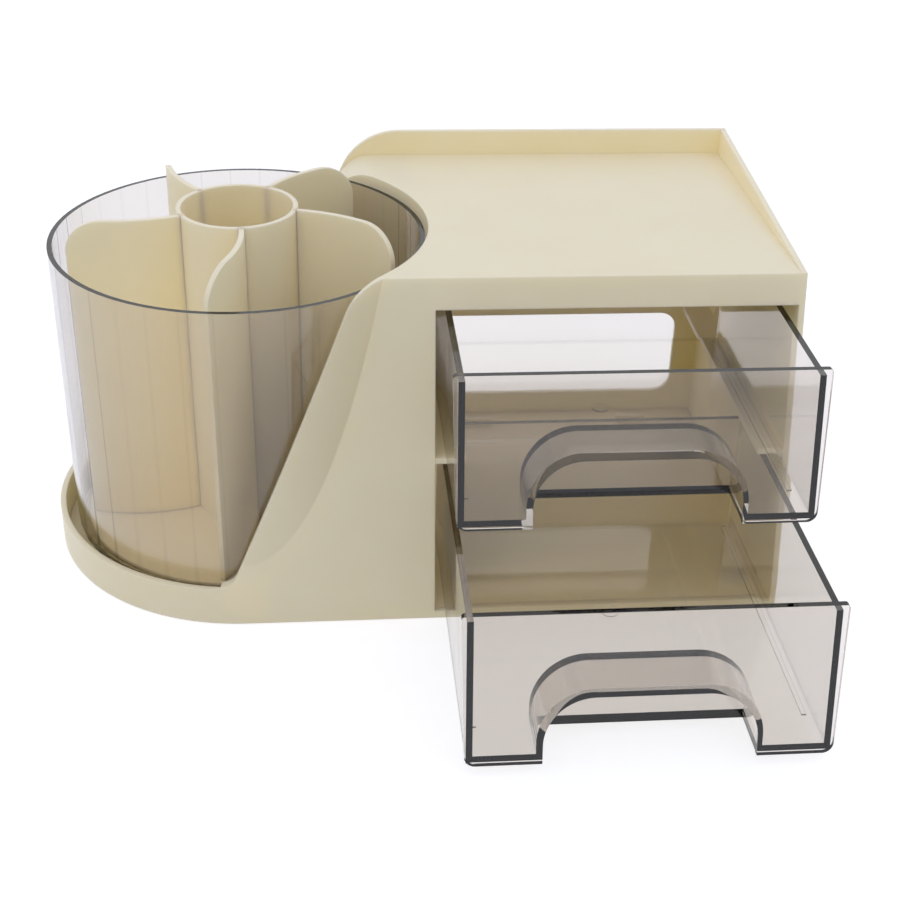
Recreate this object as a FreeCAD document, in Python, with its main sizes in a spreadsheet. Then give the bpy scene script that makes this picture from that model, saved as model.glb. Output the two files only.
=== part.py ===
"""Rotating make-up organizer: a ribbed, turning brush cup beside a leaning two-drawer cabinet.

The housing is one moulded shell. Its round end is a low tray for the cup, and its walls rise in an
S-shaped sweep to a flat deck over the drawer bay. The cup turns on a ball race on the base plate.
Every sub-part is drawn with the cup's axis at x = 0, y = 0 and the housing's bottom edge at z = 0.
A common placement then puts the origin on the table, under the centre of the housing's footprint.
"""
import FreeCAD, Part
import math
import os
import re
import Sketcher

SIZES = [
    # housing shell
    ("end_radius", 82.0, "round end of the housing, and half its depth"),
    ("bay_face_x", 217.2, "cup axis to the outer right face"),
    ("wall", 2.4, "shell wall and deck"),
    ("foot_gap", 0.6, "feet stand out below the base plate"),
    ("deck_height", 137.5, "top of the deck"),
    ("rim_rise", 10.9, "back rim above the deck"),
    ("tray_height", 16.2, "rim of the round tray"),
    ("skirt_height", 8.0, "upright foot of the front"),
    ("front_setback", 26.4, "the deck's front edge stands back from the foot"),
    ("front_crease", 60.0, "radius where the front begins to lean"),
    ("plan_corner", 3.5, "rounded upright corners on the right"),
    ("rim_cove", 3.5, "cove between the deck and its rims"),
    ("edge_round", 0.9, "softened rims and sweep edges"),
    ("deck_lip_round", 1.6, "rounded front edge of the deck"),
    # well for the cup, and the S-shaped sweep
    ("well_wall", 2.2, "curved wall round the cup"),
    ("well_gap", 1.2, "cup to well"),
    ("well_blend", 14.0, "front wall blends into the well's wall"),
    ("sweep_foot_x", -4.9, "sweep line at the tray's rim"),
    ("sweep_head_x", 45.3, "sweep line at deck level"),
    ("sweep_foot_round", 8.0, "lower bend of the sweep"),
    ("sweep_deck_round", 16.0, "upper bend on the front wall and deck"),
    ("sweep_rim_round", 28.0, "upper bend on the back wall"),
    # drawer bay
    ("bay_left_x", 75.3, "left side of the bay"),
    ("bay_wall", 2.2, "wall on the bay's left side"),
    ("fascia", 12.1, "band above the upper drawer"),
    ("plate_thickness", 3.0, "base plate, which is the bay's floor"),
    ("plate_gap", 0.2, "base plate to the shell"),
    ("ledge_top", 67.6, "runner ledges of the upper drawer"),
    ("ledge_thickness", 2.4, "runner ledge"),
    ("ledge_width", 12.0, "runner ledge"),
    ("window_width", 117.0, "openings in the back wall"),
    ("window_height", 44.0, "openings in the back wall"),
    ("window_lift", 10.5, "window above what the drawer runs on"),
    ("window_round", 8.0, "corners of the windows"),
    # bosses and screws that hold the base plate
    ("boss_x", 61.0, "screw boss from the cup axis"),
    ("boss_y", 65.0, "screw boss from the centre line"),
    ("boss_far_x", 40.0, "second screw boss from the cup axis"),
    ("boss_far_y", 73.3, "second screw boss from the centre line"),
    ("boss_radius", 3.4, "screw boss"),
    ("boss_length", 12.0, "screw boss"),
    ("screw_radius", 1.5, "self-tapping screws"),
    ("screw_length", 10.0, "base plate screws, under the head"),
    ("screw_head_radius", 2.9, "screw heads"),
    ("screw_head_height", 1.8, "screw heads"),
    ("screw_gap", 0.1, "screw to its hole"),
    ("foot_radius", 6.0, "round anti-slip feet"),
    ("foot_inset", 14.0, "left pair of feet from the cup axis"),
    ("foot_socket", 1.0, "sockets that the feet sit in"),
    # cup
    ("cup_radius", 75.0, "outer wall of the cup"),
    ("cup_top", 133.2, "rim of the cup"),
    ("cup_wall", 3.1, "cup wall over a rib"),
    ("cup_floor", 2.5, "thickness of the cup's floor"),
    ("cup_bottom_round", 4.5, "outer bottom corner"),
    ("rib_count", 36, "ribs inside the cup"),
    ("rib_notch", 1.1, "depth of the notches between ribs"),
    ("hub_dome_rise", 5.0, "raised middle of the cup's floor"),
    # divider insert
    ("insert_top", 145.2, "top of the insert"),
    ("tube_radius", 24.2, "middle tube, outside"),
    ("tube_wall", 2.0, "middle tube"),
    ("vane_count", 5, "curved vanes"),
    ("vane_thickness", 2.2, "curved vane"),
    ("vane_reach", 66.0, "outer end of a vane from the axis"),
    ("vane_first", -84.0, "angle of the first vane at the tube"),
    ("vane_drift", 8.5, "angle that a vane falls back by towards its end"),
    ("vane_round", 17.0, "rounded outer top corner of a vane"),
    # drawers
    ("slide_gap", 0.3, "drawer runner above its ledge"),
    ("panel_width_top", 135.2, "front panel"),
    ("panel_width_bottom", 132.5, "front panel"),
    ("panel_height", 56.7, "front panel, measured upright"),
    ("panel_thickness", 2.4, "front panel"),
    ("panel_round", 4.0, "bottom corners of the front panel"),
    ("panel_top_round", 1.2, "top corners of the front panel"),
    ("box_inset", 2.0, "drawer side in from the panel's end"),
    ("drawer_wall", 2.4, "drawer sides, back and floor"),
    ("wall_drop", 2.9, "drawer side below the panel's top"),
    ("runner_height", 0.7, "runner ribs under the floor"),
    ("runner_width", 1.8, "runner ribs under the floor"),
    ("panel_lift", 0.3, "panel's bottom above the runner's bottom"),
    ("back_gap", 1.2, "closed drawer to the back wall"),
    ("box_corner", 4.0, "upright corners at the drawer's back"),
    ("pull_width", 77.0, "finger pull"),
    ("pull_height", 25.0, "finger pull, measured upright"),
    ("pull_round", 18.5, "upper corners of the finger pull"),
    ("pull_depth", 20.0, "finger pull"),
    ("pull_wall", 2.2, "finger pull"),
    ("gate_radius", 3.5, "moulding mark in the drawer's floor"),
    ("upper_draw", 52.0, "upper drawer as it stands, drawn out"),
    ("lower_draw", 91.7, "lower drawer as it stands, drawn out"),
    ("stop_height", 3.5, "stop ribs behind the lower drawer"),
    ("stop_width", 14.0, "stop ribs behind the lower drawer"),
    # ball race
    ("ball_radius", 2.0, "steel balls"),
    ("ball_circle", 40.0, "balls from the axis"),
    ("ball_count", 12, "steel balls"),
    ("ball_gap", 0.1, "ball to its race and cage"),
    ("race_depth", 0.85, "grooves that the balls run in"),
    ("cage_width", 10.0, "ball cage"),
    ("turntable_thickness", 2.0, "turntable under the cup"),
    ("dome_gap", 0.3, "tube over the dome that centres it"),
    ("cage_gap", 0.3, "ball cage between its races"),
    ("turntable_radius", 62.0, "turntable under the cup"),
    ("pivot_radius", 5.0, "pivot boss"),
    ("pivot_gap", 0.05, "turntable bore to the pivot boss"),
    ("end_play", 0.3, "washer above the turntable"),
    ("register_gap", 0.2, "turntable ring inside the cup's dome"),
    ("washer_radius", 9.0, "pivot washer"),
    ("washer_thickness", 1.0, "pivot washer"),
]

doc = FreeCAD.newDocument("organizer")
sheet = doc.addObject("Spreadsheet::Sheet", "Sizes")
for row, (alias, value, note) in enumerate(SIZES, start=1):
    sheet.set("A%d" % row, alias)
    sheet.set("B%d" % row, repr(value))
    sheet.set("C%d" % row, note)
    sheet.setAlias("B%d" % row, alias)
doc.recompute()

# Sizes that follow from the driving ones.
DERIVED = {
    "plan_middle": "(bay_face_x - end_radius) / 2",
    "inner_half": "end_radius - wall",
    "right_inner": "bay_face_x - wall",
    "lean": "front_setback / (deck_height - skirt_height)",
    "rim_top": "deck_height + rim_rise",
    "bay_top": "deck_height - fascia",
    "bay_middle": "(bay_left_x + right_inner) / 2",
    "well_radius": "cup_radius + well_gap",
    "well_outer": "well_radius + well_wall",
    "sweep_slope": "(deck_height - tray_height) / (sweep_head_x - sweep_foot_x)",
    "plate_half": "inner_half - plate_gap",
    "ball_level": "plate_thickness - race_depth + ball_gap + ball_radius",
    "turntable_bottom": "2 * ball_level - plate_thickness",
    "turntable_top": "turntable_bottom + turntable_thickness",
    "cup_inner": "cup_radius - cup_wall",
    "floor_top": "turntable_top + cup_floor",
    "dome_radius": "tube_radius - tube_wall - dome_gap",
    "boss_top": "turntable_top + end_play",
    "drawer_half": "panel_width_top / 2 - box_inset",
    "upper_base": "ledge_top + slide_gap",
    "lower_base": "plate_thickness + slide_gap",
    "upper_front": "-end_radius + lean * (upper_base - skirt_height)",
    "drawer_length": "inner_half - back_gap - upper_front",
}
ALIASES = {alias for alias, _, _ in SIZES}


def full(text):
    """Expression with every size written as a cell of the sheet."""
    def cell(match):
        word = match.group(0)
        if word in DERIVED:
            return "(" + full(DERIVED[word]) + ")"
        return "Sizes." + word if word in ALIASES else word
    return re.sub(r"[a-z]\w*", cell, text)


def value(text):
    """Number that an expression comes to."""
    return float(sheet.evalExpression(full(text)))


def bind(item, **properties):
    """Bind properties, with __ for a dot in their names, to expressions over the sheet."""
    for name, text in properties.items():
        item.setExpression(name.replace("__", "."), full(text))


def new_body(label):
    body = doc.addObject("PartDesign::Body", label)
    body.Label = label
    return body


def origin_item(body, role):
    return next(item for item in body.Origin.OriginFeatures if item.Role == role)


def new_sketch(body, name, plane, offset="0", turn="0", tilt="0"):
    """Sketch on one of the body's planes, moved along its normal, turned in it or tilted about its x."""
    sketch = body.newObject("Sketcher::SketchObject", name)
    sketch.AttachmentSupport = [(origin_item(body, plane), "")]
    sketch.MapMode = "FlatFace"
    sketch.AttachmentOffset = FreeCAD.Placement(
        FreeCAD.Vector(0, 0, value(offset)),
        FreeCAD.Rotation(value(turn), 0, value(tilt)))
    sketch.setExpression("AttachmentOffset.Base.z", full(offset))
    return sketch


def fix(sketch, kind, text, *where):
    """Constrain a sketch by an expression."""
    index = sketch.addConstraint(Sketcher.Constraint(kind, *where, value(text)))
    name = "%s_%d" % (kind, index)
    sketch.renameConstraint(index, name)
    sketch.setExpression("Constraints." + name, full(text))


def fix_point(sketch, geometry, end, x, y):
    """Hold a sketch point at a place given by two expressions."""
    fix(sketch, "DistanceX", x, -1, 1, geometry, end)
    fix(sketch, "DistanceY", y, -1, 1, geometry, end)


def add_circle(sketch, x, y, radius):
    centre = FreeCAD.Vector(value(x), value(y), 0)
    index = sketch.addGeometry(Part.Circle(centre, FreeCAD.Vector(0, 0, 1), value(radius)))
    fix_point(sketch, index, 3, x, y)
    fix(sketch, "Radius", radius, index)


def arc_between(first, last, radius):
    """Arc from one point to another; a positive radius bows it to the right of the way."""
    chord = last - first
    side = FreeCAD.Vector(chord.y, -chord.x, 0).normalize() * math.copysign(1, radius)
    depth = abs(radius) - math.sqrt(radius ** 2 - chord.Length ** 2 / 4)
    return Part.Arc(first, (first + last) / 2 + side * depth, last)


def add_outline(sketch, corners):
    """Closed outline. A corner is (x, y), with a third entry that rounds it off to a radius, or
    a fourth that makes the edge leading on from it an arc of that signed radius."""
    count = len(corners)
    points = [FreeCAD.Vector(value(corner[0]), value(corner[1]), 0) for corner in corners]
    rounds = [corner[2] if len(corner) > 2 else None for corner in corners]
    bows = [corner[3] if len(corner) > 3 else None for corner in corners]
    starts, ends = list(points), list(points)
    for i, text in enumerate(rounds):
        if text:
            back = (points[i - 1] - points[i]).normalize()
            ahead = (points[(i + 1) % count] - points[i]).normalize()
            reach = value(text) / math.tan(back.getAngle(ahead) / 2)
            ends[i] = points[i] + back * reach
            starts[i] = points[i] + ahead * reach
    edges = []
    for i in range(count):
        first, last = starts[i], ends[(i + 1) % count]
        if bows[i]:
            edges.append(sketch.addGeometry(arc_between(first, last, value(bows[i]))))
            fix(sketch, "Radius", "abs(" + bows[i] + ")", edges[i])
        else:
            edges.append(sketch.addGeometry(Part.LineSegment(first, last)))
    for i, text in enumerate(rounds):
        before, after = edges[i - 1], edges[i]
        # An arc runs anticlockwise, so one that bows to the left of its way is stored end first.
        end_before = 1 if bows[i - 1] and value(bows[i - 1]) < 0 else 2
        end_after = 2 if bows[i] and value(bows[i]) < 0 else 1
        if not text:
            sketch.addConstraint(Sketcher.Constraint("Coincident", before, end_before, after, end_after))
            fix_point(sketch, after, end_after, corners[i][0], corners[i][1])
            continue
        point = sketch.addGeometry(Part.Point(points[i]), True)
        fix_point(sketch, point, 1, corners[i][0], corners[i][1])
        sketch.addConstraint(Sketcher.Constraint("PointOnObject", point, 1, before))
        sketch.addConstraint(Sketcher.Constraint("PointOnObject", point, 1, after))
        ahead = (points[(i + 1) % count] - points[i]).normalize()
        back = (points[i - 1] - points[i]).normalize()
        middle = points[i] + (ahead + back).normalize() * (
            value(text) / math.sin(back.getAngle(ahead) / 2) - value(text))
        arc = sketch.addGeometry(Part.Arc(ends[i], middle, starts[i]))
        left_turn = back.cross(ahead).z < 0
        arc_first, arc_last = (1, 2) if left_turn else (2, 1)
        sketch.addConstraint(Sketcher.Constraint("Tangent", before, 2, arc, arc_first))
        sketch.addConstraint(Sketcher.Constraint("Tangent", after, 1, arc, arc_last))
        fix(sketch, "Radius", text, arc)


def rectangle(x0, y0, x1, y1, *rounds):
    """Corners of an upright rectangle, all with the same rounding if one is given."""
    return [(x0, y0, *rounds), (x1, y0, *rounds), (x1, y1, *rounds), (x0, y1, *rounds)]


def extrude(body, kind, name, sketch, direction, length="", midplane=False):
    """Pad or Pocket along a direction, through everything if no length is given."""
    feature = body.newObject("PartDesign::" + kind, name)
    feature.Profile = sketch
    feature.UseCustomVector = True
    feature.Direction = FreeCAD.Vector(*direction)
    feature.AlongSketchNormal = False
    feature.Midplane = midplane
    if length:
        bind(feature, Length=length)
    else:
        feature.Type = "ThroughAll"
    return check_volume(body, feature, kind)


def revolve(body, kind, name, sketch, angle=360, midplane=False):
    """Revolution or Groove about the upright axis."""
    feature = body.newObject("PartDesign::" + kind, name)
    feature.Profile = sketch
    feature.ReferenceAxis = (origin_item(body, "Z_Axis"), [""])
    feature.Angle = angle
    feature.Midplane = midplane
    return check_volume(body, feature, kind)


def repeat(body, name, feature, count_name):
    """The feature repeated round the upright axis."""
    pattern = body.newObject("PartDesign::PolarPattern", name)
    pattern.Originals = [feature]
    pattern.Axis = (origin_item(body, "Z_Axis"), [""])
    pattern.Angle = 360
    bind(pattern, Occurrences=count_name)
    body.Tip = pattern
    doc.recompute()
    return pattern


def mirror(body, name, feature, plane):
    """The feature and its mirror image in one of the body's planes."""
    twin = body.newObject("PartDesign::Mirrored", name)
    twin.Originals = [feature]
    twin.MirrorPlane = (origin_item(body, plane), [""])
    body.Tip = twin
    doc.recompute()
    return twin


def soften(body, name, radius, chosen):
    """Fillet the tip's edges that the test picks out."""
    base = body.Tip
    names = ["Edge%d" % i for i, edge in enumerate(base.Shape.Edges, start=1) if chosen(edge)]
    if not names:
        raise ValueError("no edges for " + name)
    fillet = body.newObject("PartDesign::Fillet", name)
    fillet.Base = (base, names)
    bind(fillet, Radius=radius)
    doc.recompute()
    return fillet


def check_volume(body, feature, kind):
    """Recompute, and see that material was added or taken away as the kind of feature says."""
    before = feature.BaseFeature.Shape.Volume if feature.BaseFeature else 0.0
    doc.recompute()
    gained = feature.Shape.Volume - before
    if gained * (1 if kind in ("Pad", "Revolution") else -1) <= 0:
        raise ValueError("%s in %s changes nothing" % (feature.Name, body.Name))
    return feature


def place(item, x="-plan_middle", y="0", z="foot_gap"):
    bind(item, Placement__Base__x=x, Placement__Base__y=y, Placement__Base__z=z)


def upright(edge):
    """Whether an edge is a straight line along z."""
    if edge.Curve.TypeId != "Part::GeomLine":
        return False
    return abs(abs(edge.tangentAt(edge.FirstParameter).z) - 1) < 1e-6


def span(edge, axis):
    box = edge.BoundBox
    return {"x": (box.XMin, box.XMax), "y": (box.YMin, box.YMax), "z": (box.ZMin, box.ZMax)}[axis]


def near(number, text, slack=0.01):
    return abs(number - value(text)) < slack


def at_level(edge, axis, text, slack=0.01):
    """Whether an edge lies in a plane square to an axis."""
    return all(near(number, text, slack) for number in span(edge, axis))


UP, BACK, RIGHT = (0, 0, 1), (0, 1, 0), (1, 0, 0)
DOWN, FRONT, LEFT = (0, 0, -1), (0, -1, 0), (-1, 0, 0)


def make_housing():
    """One moulded shell: tray, sweep, deck with rims, and the walls of the drawer bay."""
    body = new_body("housing")

    end = new_sketch(body, "EndPlan", "XY_Plane")
    add_circle(end, "0", "0", "end_radius")
    extrude(body, "Pad", "RoundEnd", end, UP, "deck_height")
    block = new_sketch(body, "BlockPlan", "XY_Plane")
    add_outline(block, rectangle("0", "-end_radius", "bay_face_x", "end_radius"))
    extrude(body, "Pad", "Block", block, UP, "deck_height")

    # The front rises upright from the table and then leans back; a line parallel to it bounds the
    # parts behind it.
    ahead = new_sketch(body, "FrontProfile", "YZ_Plane")
    add_outline(ahead, [
        ("-end_radius", "0"),
        ("-end_radius", "skirt_height", "front_crease"),
        ("-end_radius + front_setback + 20 * lean", "deck_height + 20"),
        ("-2 * end_radius", "deck_height + 20"),
        ("-2 * end_radius", "0")])
    extrude(body, "Pocket", "LeaningFront", ahead, RIGHT).Midplane = True

    # S-shaped sweep from the tray's rim up to the deck.
    sweep = new_sketch(body, "DeckSweep", "XZ_Plane")
    add_outline(sweep, [
        ("-2 * end_radius", "tray_height"),
        ("sweep_foot_x", "tray_height", "sweep_foot_round"),
        ("sweep_head_x", "deck_height", "sweep_deck_round"),
        ("2 * bay_face_x", "deck_height"),
        ("2 * bay_face_x", "2 * deck_height"),
        ("-2 * end_radius", "2 * deck_height")])
    extrude(body, "Pocket", "SweepOverDeck", sweep, BACK).Midplane = True
    doc.recompute()

    solid = body.Tip
    underside = ["Face%d" % i for i, face in enumerate(solid.Shape.Faces, start=1)
                 if abs(face.BoundBox.ZMax) < 1e-6]
    shell = body.newObject("PartDesign::Thickness", "Shell")
    shell.Base = (solid, underside)
    bind(shell, Value="wall")
    shell.Reversed = True
    doc.recompute()

    # The curved wall round the cup reaches a little past the foot of the sweep on both sides.
    well = new_sketch(body, "WellWallProfile", "XZ_Plane")
    add_outline(well, rectangle("well_radius", "plate_thickness", "well_outer", "deck_height"))
    revolve(body, "Revolution", "WellWall", well, 2 * WELL_HALF_ANGLE, True)
    extrude(body, "Pocket", "WellWallTrim", sweep, BACK).Midplane = True
    # Round the open end the tray's rim stands alone, as thin as the shell.
    tray = new_sketch(body, "TrayProfile", "XZ_Plane")
    add_outline(tray, rectangle("-inner_half", "-1", "1 - well_radius", "tray_height + 1"))
    revolve(body, "Groove", "Tray", tray, 2 * (180 - WELL_HALF_ANGLE), True)

    # At the foot of the sweep the curved wall and the shell are one.
    foot = new_sketch(body, "SweepFootProfile", "YZ_Plane")
    add_outline(foot, [
        ("well_radius", "plate_thickness"),
        ("inner_half + wall / 4", "plate_thickness"),
        ("inner_half + wall / 4", "tray_height"),
        ("well_outer - wall / 4", "tray_height + (inner_half - well_outer + wall / 2) / lean"),
        ("well_radius", "tray_height + (inner_half - well_outer + wall / 2) / lean")])
    heel = revolve(body, "Revolution", "SweepFoot", foot, 2 * (WELL_HALF_ANGLE - 90), True)
    mirror(body, "SweepFeet", heel, "XZ_Plane")
    extrude(body, "Pocket", "SweepFootTrim", sweep, BACK).Midplane = True

    # Drawer bay: a flat wall on the left, an opening with a fascia over it, and runner ledges.
    bay_wall = new_sketch(body, "BayWallProfile", "YZ_Plane", "bay_left_x")
    add_outline(bay_wall, [
        ("-end_radius + wall / 2", "plate_thickness"),
        ("-end_radius + wall / 2", "skirt_height"),
        ("-end_radius + front_setback - wall * lean / 2 + wall / 2", "deck_height - wall / 2"),
        ("inner_half + wall / 2", "deck_height - wall / 2"),
        ("inner_half + wall / 2", "plate_thickness")])
    extrude(body, "Pad", "BayWall", bay_wall, LEFT, "bay_wall")
    opening = new_sketch(body, "BayOpening", "XZ_Plane", "end_radius - front_setback - 2 * wall")
    add_outline(opening, rectangle("bay_left_x", "plate_thickness", "right_inner", "bay_top"))
    extrude(body, "Pocket", "BayMouth", opening, FRONT)
    ledge = new_sketch(body, "LedgePlan", "XY_Plane", "ledge_top")
    ledge_front = "-end_radius + lean * (ledge_top - skirt_height)"
    add_outline(ledge, rectangle("bay_left_x - bay_wall / 2", ledge_front,
                                 "bay_left_x + ledge_width", "inner_half + wall / 2"))
    extrude(body, "Pad", "LeftLedge", ledge, DOWN, "ledge_thickness")
    right_ledge = new_sketch(body, "RightLedgePlan", "XY_Plane", "ledge_top")
    add_outline(right_ledge, rectangle("right_inner - ledge_width", ledge_front,
                                       "right_inner + wall / 2", "inner_half + wall / 2"))
    extrude(body, "Pad", "RightLedge", right_ledge, DOWN, "ledge_thickness")
    well_bore = new_sketch(body, "WellPlan", "XY_Plane")
    add_circle(well_bore, "0", "0", "well_radius")
    extrude(body, "Pocket", "Well", well_bore, UP)
    for name, base in (("Lower", "plate_thickness"), ("Upper", "ledge_top")):
        window = new_sketch(body, name + "WindowOutline", "XZ_Plane", "-inner_half + wall")
        add_outline(window, rectangle(
            "bay_middle - window_width / 2", base + " + window_lift",
            "bay_middle + window_width / 2", base + " + window_lift + window_height",
            "window_round"))
        extrude(body, "Pocket", name + "Window", window, BACK)

    # Raised rims along the deck's back and right side.
    back_rim = new_sketch(body, "BackRimPlan", "XY_Plane", "deck_height - sweep_deck_round")
    add_outline(back_rim, rectangle("sweep_foot_x", "inner_half", "bay_face_x", "end_radius"))
    extrude(body, "Pad", "BackRim", back_rim, UP, "rim_rise + sweep_deck_round")
    side_rim = new_sketch(body, "SideRimProfile", "YZ_Plane", "bay_face_x")
    add_outline(side_rim, [
        ("-end_radius + front_setback", "deck_height"),
        ("inner_half + wall / 2", "rim_top"),
        ("inner_half + wall / 2", "deck_height - wall / 2"),
        ("-end_radius + front_setback", "deck_height - wall / 2")])
    extrude(body, "Pad", "SideRim", side_rim, LEFT, "wall")
    rim_sweep = new_sketch(body, "RimSweep", "XZ_Plane")
    add_outline(rim_sweep, [
        ("-2 * end_radius", "tray_height"),
        ("sweep_foot_x", "tray_height", "sweep_foot_round"),
        ("sweep_foot_x + (rim_top - tray_height) / sweep_slope", "rim_top", "sweep_rim_round"),
        ("2 * bay_face_x", "rim_top"),
        ("2 * bay_face_x", "2 * deck_height"),
        ("-2 * end_radius", "2 * deck_height")])
    extrude(body, "Pocket", "SweepOverRim", rim_sweep, BACK).Midplane = True

    # Screw bosses for the base plate, in the corners between the well and the outer walls.
    bosses = new_sketch(body, "BossPlan", "XY_Plane", "plate_thickness")
    for x, y in BOSSES:
        add_circle(bosses, x, y, "boss_radius")
    extrude(body, "Pad", "Bosses", bosses, UP, "boss_length")
    webs = new_sketch(body, "BossWebPlan", "XY_Plane", "plate_thickness")
    for x, y in BOSSES:
        wall_side = "-" if y.startswith("-") else ""
        add_outline(webs, rectangle(x + " - wall / 2", y, x + " + wall / 2",
                                    wall_side + "(inner_half + wall / 6)"))
    extrude(body, "Pad", "BossWebs", webs, UP, "boss_length")
    pilots = new_sketch(body, "PilotPlan", "XY_Plane", "plate_thickness")
    for x, y in BOSSES:
        add_circle(pilots, x, y, "screw_radius")
    extrude(body, "Pocket", "PilotHoles", pilots, UP, "screw_length")
    place(body)
    return body


WELL_HALF_ANGLE = 97
BOSSES = [(x, side + y) for x, y in (("boss_x", "boss_y"), ("boss_far_x", "boss_far_y"))
          for side in ("", "-")]


def make_base_plate():
    """Floor of the bay and of the tray, with the lower ball race and the pivot boss."""
    body = new_body("base_plate")
    end = new_sketch(body, "EndPlan", "XY_Plane")
    add_circle(end, "0", "0", "plate_half")
    extrude(body, "Pad", "RoundEnd", end, UP, "plate_thickness")
    block = new_sketch(body, "BlockPlan", "XY_Plane")
    add_outline(block, rectangle("0", "-plate_half", "right_inner - plate_gap", "plate_half"))
    extrude(body, "Pad", "Block", block, UP, "plate_thickness")
    boss = new_sketch(body, "PivotBossPlan", "XY_Plane")
    add_circle(boss, "0", "0", "pivot_radius")
    extrude(body, "Pad", "PivotBoss", boss, UP, "boss_top")
    pilot = new_sketch(body, "PivotPilotPlan", "XY_Plane", "boss_top")
    add_circle(pilot, "0", "0", "screw_radius")
    extrude(body, "Pocket", "PivotPilot", pilot, DOWN, "boss_top - plate_thickness / 2")
    race = new_sketch(body, "RaceProfile", "XZ_Plane")
    add_circle(race, "ball_circle", "ball_level", "ball_radius + ball_gap")
    revolve(body, "Groove", "LowerRace", race)
    holes = new_sketch(body, "ScrewHolePlan", "XY_Plane")
    heads = new_sketch(body, "ScrewHeadPlan", "XY_Plane")
    for x, y in BOSSES:
        add_circle(holes, x, y, "screw_radius + screw_gap")
        add_circle(heads, x, y, "screw_head_radius + screw_gap")
    extrude(body, "Pocket", "ScrewHoles", holes, UP)
    extrude(body, "Pocket", "HeadPockets", heads, UP, "screw_head_height")
    sockets = new_sketch(body, "FootSocketPlan", "XY_Plane")
    for x, y in FEET:
        add_circle(sockets, x, y, "foot_radius")
    extrude(body, "Pocket", "FootSockets", sockets, UP, "foot_socket")
    stops = new_sketch(body, "StopPlan", "XY_Plane", "plate_thickness")
    for side in ("-", "+"):
        middle = "bay_middle %s (drawer_half - 2 * stop_width)" % side
        add_outline(stops, rectangle(
            middle + " - stop_width / 2", "drawer_length - end_radius + slide_gap",
            middle + " + stop_width / 2", "drawer_length - end_radius + slide_gap + wall"))
    extrude(body, "Pad", "DrawerStops", stops, UP, "stop_height")
    place(body)
    return body


# Feet under the base plate; the middle one marks the part's origin.
FEET = [("foot_radius - ball_circle - 3 * foot_radius - ball_radius", "0"), ("plan_middle", "0")]
FEET += [(x, side + "(plate_half - 2.5 * foot_radius)")
         for x in ("foot_inset", "right_inner - 2 * foot_radius") for side in ("", "-")]


def make_turntable():
    """Disc under the cup that carries the upper ball race and turns on the pivot boss."""
    body = new_body("turntable")
    disc = new_sketch(body, "DiscProfile", "XZ_Plane")
    ring = "dome_radius - cup_floor - register_gap"
    add_outline(disc, [
        ("pivot_radius + pivot_gap", "turntable_bottom"),
        ("turntable_radius", "turntable_bottom"),
        ("turntable_radius", "turntable_top"),
        (ring, "turntable_top"),
        (ring, "turntable_top + turntable_thickness"),
        (ring + " - turntable_thickness", "turntable_top + turntable_thickness"),
        (ring + " - turntable_thickness", "turntable_top"),
        ("pivot_radius + pivot_gap", "turntable_top")])
    revolve(body, "Revolution", "Disc", disc)
    race = new_sketch(body, "RaceProfile", "XZ_Plane")
    add_circle(race, "ball_circle", "ball_level", "ball_radius + ball_gap")
    revolve(body, "Groove", "UpperRace", race)
    place(body)
    return body


def make_ball_cage():
    """Flat ring that spaces the balls."""
    body = new_body("ball_cage")
    ring = new_sketch(body, "RingProfile", "XZ_Plane")
    add_outline(ring, rectangle(
        "ball_circle - cage_width / 2", "plate_thickness + cage_gap",
        "ball_circle + cage_width / 2", "turntable_bottom - cage_gap"))
    revolve(body, "Revolution", "Ring", ring)
    hole = new_sketch(body, "BallHolePlan", "XY_Plane")
    add_circle(hole, "ball_circle", "0", "ball_radius + ball_gap")
    first = extrude(body, "Pocket", "BallHole", hole, UP)
    repeat(body, "BallHoles", first, "ball_count")
    place(body)
    return body


def make_cup():
    """Clear cup, smooth outside and ribbed inside, with a dome that centres the insert."""
    body = new_body("cup")
    wall = new_sketch(body, "WallProfile", "XZ_Plane")
    rib_root = "cup_inner + rib_notch"
    add_outline(wall, [
        ("dome_radius - cup_floor", "turntable_top"),
        ("cup_radius", "turntable_top", "cup_bottom_round"),
        ("cup_radius", "cup_top"),
        (rib_root, "cup_top"),
        (rib_root, "floor_top", "cup_floor"),
        ("dome_radius", "floor_top"),
        ("dome_radius", "floor_top + hub_dome_rise"),
        ("0", "floor_top + hub_dome_rise"),
        ("0", "turntable_top + hub_dome_rise"),
        ("dome_radius - cup_floor", "turntable_top + hub_dome_rise")])
    revolve(body, "Revolution", "Wall", wall)

    # Each rib is a low bulge; neighbours meet in a sharp notch.
    rib = new_sketch(body, "RibPlan", "XY_Plane", "floor_top - cup_floor / 2")
    half = "(180 / rib_count)"
    chord = "(rib_root * sin(%s))" % half
    rise = "(rib_root * cos(%s) - cup_inner)" % half
    edge = [text.replace("rib_root", "(" + rib_root + ")") for text in (
        "rib_root * cos(%s)" % half, "rib_root * sin(%s)" % half,
        "(%s ^ 2 + %s ^ 2) / (2 * %s)" % (chord, rise, rise))]
    add_outline(rib, [
        (edge[0], edge[1], None, "-(" + edge[2] + ")"),
        (edge[0], "-" + edge[1]),
        ("cup_radius - rib_notch / 2", "-" + edge[1]),
        ("cup_radius - rib_notch / 2", edge[1])])
    first = extrude(body, "Pad", "Rib", rib, UP, "cup_top - floor_top + cup_floor / 2")
    repeat(body, "Ribs", first, "rib_count")
    place(body)
    return body


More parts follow.
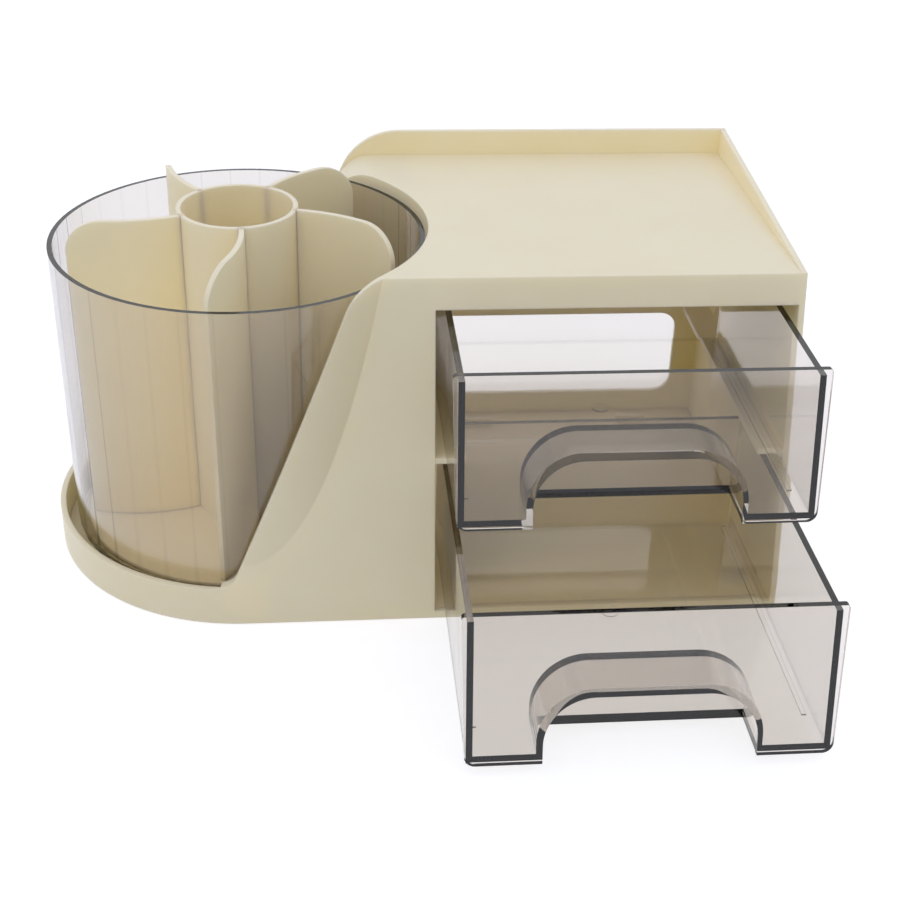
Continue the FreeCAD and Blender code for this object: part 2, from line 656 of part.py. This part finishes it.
def make_divider_insert():
    """Middle tube with curved vanes that part the cup into compartments."""
    body = new_body("divider_insert")
    tube = new_sketch(body, "TubePlan", "XY_Plane", "floor_top")
    add_circle(tube, "0", "0", "tube_radius")
    extrude(body, "Pad", "Tube", tube, UP, "insert_top - floor_top")

    # A vane leaves the tube squarely and its curve turns by twice the angle of its chord.
    vane = new_sketch(body, "VanePlan", "XY_Plane", "floor_top", "vane_first")
    root = "(tube_radius - tube_wall / 2)"
    tip_x, tip_y = "(vane_reach * cos(vane_drift))", "(vane_reach * sin(vane_drift))"
    slant = "atan(%s / (%s - %s))" % (tip_y, tip_x, root)
    bend = "(hypot(%s - %s; %s) / (2 * sin(%s)))" % (tip_x, root, tip_y, slant)
    side_x = "vane_thickness / 2 * sin(2 * %s)" % slant
    side_y = "vane_thickness / 2 * cos(2 * %s)" % slant
    add_outline(vane, [
        (root, "vane_thickness / 2", None, "-(%s + vane_thickness / 2)" % bend),
        ("%s + %s" % (tip_x, side_x), "%s - %s" % (side_y, tip_y)),
        ("%s - %s" % (tip_x, side_x), "-(%s) - %s" % (side_y, tip_y), None,
         "%s - vane_thickness / 2" % bend),
        (root, "-vane_thickness / 2")])
    first = extrude(body, "Pad", "Vane", vane, UP, "insert_top - floor_top")
    repeat(body, "Vanes", first, "vane_count")
    corner = new_sketch(body, "VaneCornerProfile", "XZ_Plane")
    add_outline(corner, [
        ("vane_reach - vane_round", "insert_top", None, "-vane_round"),
        ("vane_reach", "insert_top - vane_round"),
        ("vane_reach + 3 * vane_thickness", "insert_top - vane_round"),
        ("vane_reach + 3 * vane_thickness", "insert_top + vane_thickness"),
        ("vane_reach - vane_round", "insert_top + vane_thickness")])
    revolve(body, "Groove", "VaneCorners", corner)
    bore = new_sketch(body, "TubeBorePlan", "XY_Plane")
    add_circle(bore, "0", "0", "tube_radius - tube_wall")
    extrude(body, "Pocket", "TubeBore", bore, UP)
    place(body)
    return body


def arch(width, height, rounding, foot):
    """Upright arch with rounded shoulders, from a level below the panel's edge."""
    return [("-" + width, foot), (width, foot), (width, height, rounding), ("-" + width, height, rounding)]


def make_drawer(label, y, z):
    """Clear drawer with a leaning front panel and a tunnelled finger pull.

    It is drawn with x across the drawer, the runners' underside at z = 0, and the plane of the
    panel's face passing through y = 0 there.
    """
    body = new_body(label)
    tilt = "-atan(lean)"
    slope = "sqrt(1 + lean ^ 2)"
    panel = new_sketch(body, "PanelOutline", "XZ_Plane", "0", "0", tilt)
    low, high = "panel_lift * " + slope, "(panel_lift + panel_height) * " + slope
    add_outline(panel, [
        ("-panel_width_bottom / 2", low, "panel_round"),
        ("panel_width_bottom / 2", low, "panel_round"),
        ("panel_width_top / 2", high, "panel_top_round"),
        ("-panel_width_top / 2", high, "panel_top_round")])
    extrude(body, "Pad", "Panel", panel, BACK, "panel_thickness")

    # Sides, floor and back of the box behind the panel.
    side = new_sketch(body, "SideProfile", "YZ_Plane", "drawer_half")
    wall_top = "(panel_lift + panel_height - wall_drop)"
    add_outline(side, [
        ("lean * runner_height + panel_thickness / 2", "runner_height"),
        ("drawer_length", "runner_height"),
        ("drawer_length", wall_top),
        ("lean * %s + panel_thickness / 2" % wall_top, wall_top)])
    wall = extrude(body, "Pad", "Side", side, LEFT, "drawer_wall")
    mirror(body, "Sides", wall, "YZ_Plane")
    tray = new_sketch(body, "FloorProfile", "YZ_Plane")
    floor = "(runner_height + drawer_wall)"
    add_outline(tray, [
        ("lean * runner_height + panel_thickness / 2", "runner_height"),
        ("drawer_length", "runner_height"),
        ("drawer_length", wall_top),
        ("drawer_length - drawer_wall", wall_top),
        ("drawer_length - drawer_wall", floor),
        ("lean * %s + panel_thickness / 2" % floor, floor)])
    extrude(body, "Pad", "FloorAndBack", tray, RIGHT, "2 * drawer_half - drawer_wall", True)

    # Finger pull: a closed tunnel behind an arch in the panel, open underneath.
    shoulder = "pull_width / 2"
    tunnel = new_sketch(body, "TunnelOutline", "XZ_Plane", "0", "0", tilt)
    add_outline(tunnel, arch("(%s + pull_wall)" % shoulder,
                             "(panel_lift + pull_height + pull_wall) * " + slope,
                             "pull_round + pull_wall", "runner_height * " + slope))
    extrude(body, "Pad", "Tunnel", tunnel, BACK, "pull_depth + pull_wall")
    hollow = new_sketch(body, "PullOutline", "XZ_Plane", "0", "0", tilt)
    add_outline(hollow, arch("(%s)" % shoulder, "(panel_lift + pull_height) * " + slope,
                             "pull_round", "-drawer_wall"))
    extrude(body, "Pocket", "FingerPull", hollow, BACK, "pull_depth")

    # Runner ribs under the floor, and the mark that moulding leaves inside it.
    runner = new_sketch(body, "RunnerPlan", "XY_Plane")
    runner_x = "(drawer_half - 2 * runner_width)"
    add_outline(runner, rectangle(
        runner_x + " - runner_width", "pull_depth", runner_x, "drawer_length - box_corner"))
    rib = extrude(body, "Pad", "Runner", runner, UP, "runner_height + drawer_wall / 2")
    mirror(body, "Runners", rib, "YZ_Plane")
    mark = new_sketch(body, "GatePlan", "XY_Plane", floor)
    add_circle(mark, "0", "(drawer_length + pull_depth) / 2", "gate_radius")
    extrude(body, "Pad", "GateMark", mark, UP, "panel_lift")
    soften(body, "BackCorners", "box_corner", lambda edge: upright(edge)
           and at_level(edge, "y", "drawer_length") and edge.Length > value("panel_height") / 2)
    place(body, "bay_middle - plan_middle", y, z + " + foot_gap")
    return body


def make_washer():
    body = new_body("pivot_washer")
    ring = new_sketch(body, "RingPlan", "XY_Plane", "boss_top")
    add_circle(ring, "0", "0", "washer_radius")
    add_circle(ring, "0", "0", "screw_radius + screw_gap")
    extrude(body, "Pad", "Ring", ring, UP, "washer_thickness")
    place(body)
    return body


def screw_shape(length):
    """Pan-head screw standing on its tip side down, the underside of its head at z = 0."""
    head = Part.makeCylinder(value("screw_head_radius"), value("screw_head_height"))
    rim = [edge for edge in head.Edges if near(edge.BoundBox.ZMin, "screw_head_height")]
    head = head.makeFillet(value("screw_head_height") / 2, rim)
    shank = Part.makeCylinder(value("screw_radius"), value(length), FreeCAD.Vector(), FreeCAD.Vector(*DOWN))
    point = Part.makeCone(value("screw_radius"), 0, value("screw_radius") * 2,
                          FreeCAD.Vector(0, 0, -value(length)), FreeCAD.Vector(*DOWN))
    return head.fuse([shank, point]).removeSplitter()


def add_group(label, solids):
    """Like pieces that share one sub-part, already in their places."""
    group = doc.addObject("Part::Feature", label)
    group.Label = label
    group.Shape = Part.makeCompound(solids)
    place(group)
    return group


def make_pivot_screw():
    screw = screw_shape("boss_top + washer_thickness - plate_thickness / 2 - 3 * screw_radius")
    screw.translate(FreeCAD.Vector(0, 0, value("boss_top + washer_thickness")))
    return add_group("pivot_screw", screw.Solids)


def make_base_screws():
    screws = []
    for x, y in BOSSES:
        screw = screw_shape("screw_length - 3 * screw_radius")
        screw.rotate(FreeCAD.Vector(), FreeCAD.Vector(*RIGHT), 180)
        screw.translate(FreeCAD.Vector(value(x), value(y), value("screw_head_height")))
        screws.append(screw)
    return add_group("base_screws", screws)


def make_balls():
    balls = []
    for index in range(int(value("ball_count"))):
        turn = 2 * math.pi * index / value("ball_count")
        centre = FreeCAD.Vector(math.cos(turn), math.sin(turn), 0) * value("ball_circle")
        centre.z = value("ball_level")
        balls.append(Part.makeSphere(value("ball_radius"), centre))
    return add_group("bearing_balls", balls)


def make_feet():
    feet = []
    for x, y in FEET:
        base = FreeCAD.Vector(value(x), value(y), -value("foot_gap"))
        pad = Part.makeCylinder(value("foot_radius - screw_gap"), value("foot_socket + foot_gap"), base)
        rim = [edge for edge in pad.Edges if near(edge.BoundBox.ZMax, "-foot_gap")]
        feet.append(pad.makeFillet(value("foot_gap") / 2, rim))
    return add_group("rubber_feet", feet)


PARTS = [
    make_housing(),
    make_base_plate(),
    make_cup(),
    make_divider_insert(),
    make_drawer("upper_drawer", "upper_front - upper_draw", "upper_base"),
    make_drawer("lower_drawer", "-end_radius - lower_draw", "lower_base"),
    make_turntable(),
    make_ball_cage(),
    make_balls(),
    make_washer(),
    make_pivot_screw(),
    make_base_screws(),
    make_feet(),
]
doc.recompute()

for item in doc.Objects:
    if "Invalid" in item.State or "Error" in item.State:
        raise ValueError("%s did not build" % item.Name)
os.makedirs("parts", exist_ok=True)
for part in PARTS:
    if part.Shape.isNull() or not part.Shape.isValid():
        raise ValueError("%s has no valid shape" % part.Label)
    part.Shape.exportStep("parts/%s.step" % part.Label)
    print(part.Label, len(part.Shape.Solids), round(part.Shape.Volume))
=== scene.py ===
"""Rotating make-up organizer: a refitted divider insert, materials, studio and camera round the CAD parts.

Everything is in metres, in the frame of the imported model: the origin is the middle of the footprint,
the drawers open towards -Y and the carousel turns about Z.
"""
import math

import bmesh
import bpy
from mathutils import Matrix, Vector


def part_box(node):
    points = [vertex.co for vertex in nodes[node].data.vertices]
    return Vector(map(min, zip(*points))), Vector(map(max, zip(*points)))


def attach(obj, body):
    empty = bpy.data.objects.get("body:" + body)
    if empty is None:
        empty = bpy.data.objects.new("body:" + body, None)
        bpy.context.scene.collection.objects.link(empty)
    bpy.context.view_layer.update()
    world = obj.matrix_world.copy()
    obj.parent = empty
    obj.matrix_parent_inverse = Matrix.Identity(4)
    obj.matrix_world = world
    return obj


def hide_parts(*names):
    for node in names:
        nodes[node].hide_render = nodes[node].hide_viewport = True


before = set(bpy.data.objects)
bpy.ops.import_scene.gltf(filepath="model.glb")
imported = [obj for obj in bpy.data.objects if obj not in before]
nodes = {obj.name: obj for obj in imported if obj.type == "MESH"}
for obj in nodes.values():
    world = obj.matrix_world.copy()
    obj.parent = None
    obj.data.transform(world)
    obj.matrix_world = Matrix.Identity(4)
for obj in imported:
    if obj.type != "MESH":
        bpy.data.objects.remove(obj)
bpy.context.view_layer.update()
cup_low, cup_high = (Vector(corner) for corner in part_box("cup"))
carousel_axis = (cup_low + cup_high) / 2

# ---------------------------------------------------------------- divider insert

TUBE_RADIUS, TUBE_WALL, TUBE_SIDES = 0.0242, 0.0020, 96
PLATE_RADIUS, PLATE_THICKNESS = 0.0702, 0.0016
VANES, VANE_THICKNESS, VANE_STEPS = 5, 0.0022, 36
VANE_REACH, VANE_ROUND = 0.0675, 0.0140
FIRST_VANE, VANE_DRIFT = math.radians(-84.0), math.radians(14.0)
EDGE_ROUND, EDGE_STEPS, EDGE_ANGLE = 0.0006, 3, math.radians(35.0)


def spin(bm, outline):
    """Turns a closed outline of (radius, height) corners once round the carousel's axis."""
    rings = []
    for radius, height in outline:
        ring = []
        for n in range(TUBE_SIDES):
            turn = math.tau * n / TUBE_SIDES
            ring.append(bm.verts.new((carousel_axis.x + radius * math.cos(turn),
                                      carousel_axis.y + radius * math.sin(turn), height)))
        rings.append(ring)
    for lower, upper in zip(rings, rings[1:] + rings[:1]):
        for n in range(TUBE_SIDES):
            after = (n + 1) % TUBE_SIDES
            bm.faces.new((lower[n], lower[after], upper[after], upper[n]))


def vane(bm, heading, low, high):
    """A curved vane: it leaves the tube squarely, bends back evenly and ends in a rounded corner."""
    root = TUBE_RADIUS - TUBE_WALL / 2
    along = VANE_REACH * math.cos(VANE_DRIFT) - root
    aside = VANE_REACH * math.sin(VANE_DRIFT)
    slant = math.atan2(aside, along)
    bend = math.hypot(along, aside) / (2 * math.sin(slant))
    sections = []
    for n in range(VANE_STEPS + 1):
        turn = 2 * slant * math.sin(math.pi / 2 * n / VANE_STEPS)
        middle = Vector((root + bend * math.sin(turn), bend * (math.cos(turn) - 1)))
        past = max(0.0, min(VANE_ROUND, middle.length - VANE_REACH + VANE_ROUND))
        top = high - VANE_ROUND + math.sqrt(VANE_ROUND ** 2 - past ** 2)
        half = Vector((math.sin(turn), math.cos(turn))) * (VANE_THICKNESS / 2)
        corners = []
        for spot, height in ((middle + half, low), (middle - half, low),
                             (middle - half, top), (middle + half, top)):
            spot = Matrix.Rotation(heading, 2) @ spot
            corners.append(bm.verts.new((carousel_axis.x + spot.x, carousel_axis.y + spot.y, height)))
        sections.append(corners)
    for near, far in zip(sections, sections[1:]):
        for n in range(4):
            after = (n + 1) % 4
            bm.faces.new((near[n], near[after], far[after], far[n]))
    bm.faces.new(sections[0][::-1])
    bm.faces.new(sections[-1])


def divider_insert():
    """Middle tube, five vanes and the round floor that joins them, with softened edges."""
    low, high = (corner[2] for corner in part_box("divider_insert"))
    bore = TUBE_RADIUS - TUBE_WALL
    floor_top = low + PLATE_THICKNESS
    bm = bmesh.new()
    spin(bm, [(bore, low), (PLATE_RADIUS, low), (PLATE_RADIUS, floor_top),
              (TUBE_RADIUS, floor_top), (TUBE_RADIUS, high), (bore, high)])
    for n in range(VANES):
        vane(bm, FIRST_VANE + math.tau * n / VANES, low, high)
    bmesh.ops.recalc_face_normals(bm, faces=bm.faces)
    mesh = bpy.data.meshes.new("moulded_insert")
    bm.to_mesh(mesh)
    bm.free()
    mesh.shade_smooth()
    piece = bpy.data.objects.new("moulded_insert", mesh)
    bpy.context.scene.collection.objects.link(piece)
    soft = piece.modifiers.new("softened edges", "BEVEL")
    soft.width = EDGE_ROUND
    soft.segments = EDGE_STEPS
    soft.limit_method = "ANGLE"
    soft.angle_limit = EDGE_ANGLE
    soft.harden_normals = True
    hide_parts("divider_insert")
    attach(piece, "carousel")
    return piece


insert = divider_insert()

# ---------------------------------------------------------------- node helpers

NOISE_LOW, NOISE_HIGH = 0.3, 0.7
WHITE = (1.0, 1.0, 1.0, 1.0)


def new_tree(name):
    """An empty node material, its tree and its output node."""
    material = bpy.data.materials.new(name)
    material.use_nodes = True
    tree = material.node_tree
    tree.nodes.clear()
    return material, tree, tree.nodes.new("ShaderNodeOutputMaterial")


def feed(tree, socket, value):
    """Gives an input its value: a number, a colour or the socket that feeds it."""
    if isinstance(value, bpy.types.NodeSocket):
        tree.links.new(value, socket)
    else:
        socket.default_value = value


def put(tree, kind, settings=None, **inputs):
    """A node of that kind, with its settings and with its inputs fed by name."""
    node = tree.nodes.new(kind)
    for name, value in (settings or {}).items():
        setattr(node, name, value)
    for name, value in inputs.items():
        feed(tree, node.inputs[name.replace("_", " ")], value)
    return node


def calc(tree, operation, *values):
    """The result of one arithmetic node on numbers or sockets."""
    node = put(tree, "ShaderNodeMath", {"operation": operation})
    for socket, value in zip(node.inputs, values):
        feed(tree, socket, value)
    return node.outputs[0]


def noise(tree, scale, detail=2.0):
    """The value of a noise of that many cycles to the metre."""
    place = put(tree, "ShaderNodeTexCoord").outputs["Object"]
    return put(tree, "ShaderNodeTexNoise", Vector=place, Scale=scale, Detail=detail,
               Roughness=0.5).outputs["Fac"]


def between(tree, fac, low, high):
    """Turns a noise, which keeps near 0.5, into numbers from low to high."""
    return put(tree, "ShaderNodeMapRange", Value=fac, From_Min=NOISE_LOW, From_Max=NOISE_HIGH,
               To_Min=low, To_Max=high).outputs["Result"]


def tint(tree, fac, dark, light):
    """Mixes two colours by a noise, which keeps near 0.5."""
    node = put(tree, "ShaderNodeValToRGB", Fac=fac)
    stops = node.color_ramp.elements
    for stop, position, colour in ((stops[0], NOISE_LOW, dark), (stops[1], NOISE_HIGH, light)):
        stop.position = position
        stop.color = (*colour, 1.0)
    return node.outputs["Color"]


def ramp(tree, value, low, high, start=0.0, end=1.0):
    """Rises smoothly from start to end while the value goes from low to high."""
    return put(tree, "ShaderNodeMapRange", {"interpolation_type": "SMOOTHSTEP"}, Value=value,
               From_Min=low, From_Max=high, To_Min=start, To_Max=end).outputs["Result"]


def aslant(tree, low, high, start, end):
    """From start where a surface faces the eye to end where it is seen aslant."""
    facing = put(tree, "ShaderNodeLayerWeight", Blend=0.5).outputs["Facing"]
    return ramp(tree, facing, low, high, start, end)


def blend_colours(tree, fac, first, second):
    """Mixes two colours, given as colours or sockets."""
    node = put(tree, "ShaderNodeMix", {"data_type": "RGBA"}, Factor=fac)
    for socket, colour in zip((node.inputs[6], node.inputs[7]), (first, second)):
        feed(tree, socket, colour if isinstance(colour, bpy.types.NodeSocket) else (*colour, 1.0))
    return node.outputs[2]


def mix_shaders(tree, fac, first, second):
    """The first shader where fac is 0 and the second where it is 1."""
    node = tree.nodes.new("ShaderNodeMixShader")
    for socket, source in zip(node.inputs, (fac, first, second)):
        tree.links.new(source, socket)
    return node.outputs["Shader"]


# ---------------------------------------------------------------- materials

IVORY_DARK, IVORY_LIGHT = (0.955, 0.810, 0.520), (0.975, 0.835, 0.550)
IVORY_SPREAD = (1.0, 0.88, 0.70)
ABS_EDGE = 0.0007
CUP_SMOKE, CUP_ASLANT, CUP_DENSITY = (0.88, 0.855, 0.83), (0.72, 0.69, 0.67), 60.0
DRAWER_SMOKE, DRAWER_ASLANT, DRAWER_DENSITY = (0.89, 0.865, 0.84), (0.86, 0.83, 0.80), 50.0
THICK_SMOKE = (0.62, 0.585, 0.55, 1.0)
SHADOW_SMOKE = (0.97, 0.955, 0.93, 1.0)
# Painted shade: the dark colour, heights and widths of the lines painted into the cup at its rib notches.
CUP_RIBS, NOTCH_PAINTED_SHADE = 36, (0.04, 0.038, 0.036)
NOTCH_FOOT, NOTCH_SETTLED = 0.006, 0.040
NOTCH_WIDTH_AT_FOOT, NOTCH_WIDTH = 0.13, 0.035


def ivory_abs(name):
    """Satin moulded ABS: faint clouding, a fine spark-eroded grain, eased edges and a warm depth."""
    material, tree, out = new_tree(name)
    edges = put(tree, "ShaderNodeBevel", {"samples": 6}, Radius=ABS_EDGE).outputs["Normal"]
    grain = put(tree, "ShaderNodeBump", Height=noise(tree, 1800.0), Strength=0.10, Distance=0.0001,
                Normal=edges)
    shader = put(
        tree, "ShaderNodeBsdfPrincipled",
        {"subsurface_method": "RANDOM_WALK"},
        Base_Color=tint(tree, noise(tree, 26.0, 3.0), IVORY_DARK, IVORY_LIGHT),
        Roughness=between(tree, noise(tree, 240.0, 3.0), 0.34, 0.44),
        IOR=1.52,
        Subsurface_Weight=0.5,
        Subsurface_Radius=IVORY_SPREAD,
        Subsurface_Scale=0.006,
        Normal=grain.outputs["Normal"],
    )
    tree.links.new(shader.outputs["BSDF"], out.inputs["Surface"])
    return material


def painted_notch_shade(tree):
    """How far a point lies on a painted dark line, shade painted into the cup's colour at the notches
    between its ribs, seen aslant.

    Widths are shares of the step from rib to rib, and the lines widen towards the cup's foot.
    """
    place = put(tree, "ShaderNodeTexCoord").outputs["Object"]
    x, y, z = put(tree, "ShaderNodeSeparateXYZ", Vector=place).outputs
    heading = calc(tree, "ARCTAN2", calc(tree, "SUBTRACT", y, carousel_axis.y),
                   calc(tree, "SUBTRACT", x, carousel_axis.x))
    steps = calc(tree, "MULTIPLY", heading, CUP_RIBS / math.tau)
    from_rib = calc(tree, "ABSOLUTE", calc(tree, "SUBTRACT", steps, calc(tree, "ROUND", steps)))
    from_notch = calc(tree, "SUBTRACT", 0.5, from_rib)
    width = ramp(tree, z, NOTCH_FOOT, NOTCH_SETTLED, NOTCH_WIDTH_AT_FOOT, NOTCH_WIDTH)
    beside = ramp(tree, calc(tree, "DIVIDE", from_notch, width), 0.5, 1.0)
    return calc(tree, "MULTIPLY", calc(tree, "SUBTRACT", 1.0, beside), aslant(tree, 0.36, 0.70, 0.05, 0.85))


def smoked_clear(name, facing, edge_on, density, paint_notch_shade=False):
    """Polished clear styrene with a brown smoke tint, partly held in its thickness: long paths go dark."""
    material, tree, out = new_tree(name)
    wave = put(tree, "ShaderNodeBump", Height=noise(tree, 55.0, 1.0), Strength=0.06, Distance=0.0004)
    smoke = blend_colours(tree, aslant(tree, 0.2, 0.9, 0.0, 1.0), facing, edge_on)
    # Painted shade: dark lines painted into the colour at the notches between the cup's ribs, stronger seen
    # aslant.
    if paint_notch_shade:
        smoke = blend_colours(tree, painted_notch_shade(tree), smoke, NOTCH_PAINTED_SHADE)
    clear = put(
        tree, "ShaderNodeBsdfPrincipled",
        Base_Color=smoke,
        Roughness=between(tree, noise(tree, 90.0), 0.012, 0.035),
        IOR=1.57,
        Transmission_Weight=1.0,
        Normal=wave.outputs["Normal"],
    )
    light_path = put(tree, "ShaderNodeLightPath")
    shadow = put(tree, "ShaderNodeBsdfTransparent", Color=SHADOW_SMOKE)
    surface = mix_shaders(tree, light_path.outputs["Is Shadow Ray"], clear.outputs["BSDF"],
                          shadow.outputs["BSDF"])
    tree.links.new(surface, out.inputs["Surface"])
    depth = put(tree, "ShaderNodeVolumeAbsorption", Color=THICK_SMOKE, Density=density)
    tree.links.new(depth.outputs["Volume"], out.inputs["Volume"])
    return material


def bearing_plastic():
    """Natural acetal, slightly waxy."""
    material, tree, out = new_tree("bearing_plastic")
    shader = put(
        tree, "ShaderNodeBsdfPrincipled",
        Base_Color=tint(tree, noise(tree, 60.0), (0.74, 0.74, 0.71), (0.80, 0.80, 0.77)),
        Roughness=between(tree, noise(tree, 300.0), 0.36, 0.48),
        IOR=1.48,
    )
    tree.links.new(shader.outputs["BSDF"], out.inputs["Surface"])
    return material


def bearing_steel():
    """Bright steel with fine rubbing marks."""
    material, tree, out = new_tree("bearing_steel")
    marks = put(tree, "ShaderNodeBump", Height=noise(tree, 3200.0, 3.0), Strength=0.12, Distance=0.00005)
    shader = put(
        tree, "ShaderNodeBsdfPrincipled",
        Base_Color=tint(tree, noise(tree, 500.0), (0.56, 0.57, 0.59), (0.66, 0.67, 0.68)),
        Metallic=1.0,
        Roughness=between(tree, noise(tree, 900.0, 3.0), 0.18, 0.34),
        Normal=marks.outputs["Normal"],
    )
    tree.links.new(shader.outputs["BSDF"], out.inputs["Surface"])
    return material


def foot_rubber():
    """Matt rubber with a dusty grain."""
    material, tree, out = new_tree("foot_rubber")
    grain = put(tree, "ShaderNodeBump", Height=noise(tree, 2600.0, 4.0), Strength=0.35, Distance=0.0001)
    shader = put(
        tree, "ShaderNodeBsdfPrincipled",
        Base_Color=tint(tree, noise(tree, 800.0, 4.0), (0.018, 0.018, 0.018), (0.034, 0.033, 0.032)),
        Roughness=between(tree, noise(tree, 1200.0, 3.0), 0.72, 0.88),
        Normal=grain.outputs["Normal"],
    )
    tree.links.new(shader.outputs["BSDF"], out.inputs["Surface"])
    return material


ivory = ivory_abs("ivory_abs")
# The cup gets painted shade lines at its rib notches.
cup_clear = smoked_clear("smoke_clear_cup", CUP_SMOKE, CUP_ASLANT, CUP_DENSITY, paint_notch_shade=True)
drawer_clear = smoked_clear("smoke_clear_drawers", DRAWER_SMOKE, DRAWER_ASLANT, DRAWER_DENSITY)
finish_of = {
    ivory: ("housing", "base_plate", "divider_insert"),
    cup_clear: ("cup",),
    drawer_clear: ("upper_drawer", "lower_drawer"),
    bearing_plastic(): ("turntable", "ball_cage"),
    bearing_steel(): ("bearing_balls", "pivot_washer", "pivot_screw", "base_screws"),
    foot_rubber(): ("rubber_feet",),
}
insert.data.materials.append(ivory)
for material, names in finish_of.items():
    for name in names:
        for slot in nodes[name].material_slots:
            slot.material = material

# ---------------------------------------------------------------- studio

FLOOR_HALF = 6.0
SKY_COLOUR = (0.955, 0.985, 1.20, 1.0)
SKY_LEAN = 0.6


def plainly_seen(tree):
    """1 for a ray from the camera, straight or by way of clear plastic or a gloss, and 0 for light."""
    path = put(tree, "ShaderNodeLightPath").outputs
    direct = calc(tree, "MAXIMUM", path["Is Camera Ray"], path["Is Transmission Ray"])
    return calc(tree, "MAXIMUM", direct, path["Is Glossy Ray"])


def pale_floor(albedo, glow, seen_glow):
    """A wide matt floor that glows a little, like a lit table, and more where it is plainly seen."""
    corners = [(-FLOOR_HALF, -FLOOR_HALF, 0), (FLOOR_HALF, -FLOOR_HALF, 0),
               (FLOOR_HALF, FLOOR_HALF, 0), (-FLOOR_HALF, FLOOR_HALF, 0)]
    mesh = bpy.data.meshes.new("studio_floor")
    mesh.from_pydata(corners, [], [(0, 1, 2, 3)])
    floor = bpy.data.objects.new("studio_floor", mesh)
    bpy.context.scene.collection.objects.link(floor)
    material, tree, out = new_tree("studio_floor")
    strength = put(tree, "ShaderNodeMapRange", Value=plainly_seen(tree), To_Min=glow, To_Max=seen_glow)
    shader = put(
        tree, "ShaderNodeBsdfPrincipled",
        Base_Color=tint(tree, noise(tree, 2.0), (albedo,) * 3, (albedo + 0.01,) * 3),
        Roughness=0.9,
        Specular_IOR_Level=0.1,
        Emission_Color=WHITE,
        Emission_Strength=strength.outputs["Result"],
    )
    tree.links.new(shader.outputs["BSDF"], out.inputs["Surface"])
    mesh.materials.append(material)


def soft_sky(low_front, high_and_back):
    """An even studio: weaker low on the camera's side, stronger above and behind, and white where seen."""
    world = bpy.data.worlds.new("studio")
    bpy.context.scene.world = world
    world.use_nodes = True
    tree = world.node_tree
    tree.nodes.clear()
    place = put(tree, "ShaderNodeTexCoord").outputs["Generated"]
    way = put(tree, "ShaderNodeSeparateXYZ", Vector=place).outputs
    rise = calc(tree, "MULTIPLY_ADD", way["Y"], SKY_LEAN, way["Z"])
    level = ramp(tree, rise, -0.6, 0.5, low_front, high_and_back)
    light = put(tree, "ShaderNodeBackground", Color=SKY_COLOUR, Strength=level)
    white = put(tree, "ShaderNodeBackground", Color=WHITE, Strength=1.0)
    sky = mix_shaders(tree, plainly_seen(tree), light.outputs["Background"], white.outputs["Background"])
    out = tree.nodes.new("ShaderNodeOutputWorld")
    tree.links.new(sky, out.inputs["Surface"])


def softbox(name, at, aim, size, power):
    """A square area light at one point, facing another."""
    data = bpy.data.lights.new(name, "AREA")
    data.shape = "SQUARE"
    data.size = size
    data.energy = power
    lamp = bpy.data.objects.new(name, data)
    bpy.context.scene.collection.objects.link(lamp)
    lamp.location = at
    lamp.rotation_mode = "QUATERNION"
    lamp.rotation_quaternion = (Vector(aim) - Vector(at)).to_track_quat("-Z", "Y")


def camera(eye, heading, tilt, roll):
    """The photograph's view: 60 mm on a 36 mm sensor, looking down 30.6 degrees from the front left."""
    data = bpy.data.cameras.new("camera")
    data.sensor_width = 36.0
    data.lens = 59.897
    data.shift_x = 0.0023
    data.shift_y = 0.0004
    data.clip_start = 0.01
    data.clip_end = 50.0
    viewer = bpy.data.objects.new("camera", data)
    bpy.context.scene.collection.objects.link(viewer)
    turned = Matrix.Rotation(heading, 4, "Z") @ Matrix.Rotation(tilt, 4, "X") @ Matrix.Rotation(roll, 4, "Z")
    viewer.matrix_world = Matrix.Translation(eye) @ turned
    bpy.context.scene.camera = viewer


pale_floor(albedo=0.50, glow=0.22, seen_glow=0.67)
soft_sky(low_front=0.39, high_and_back=0.80)
softbox("key", at=(-0.9, -0.7, 1.5), aim=(0, 0, 0.05), size=1.0, power=3.0)
camera(eye=(-0.034785, -0.566439, 0.367368), heading=-0.095, tilt=1.036, roll=0.026)
bpy.context.scene.view_settings.view_transform = "Standard"
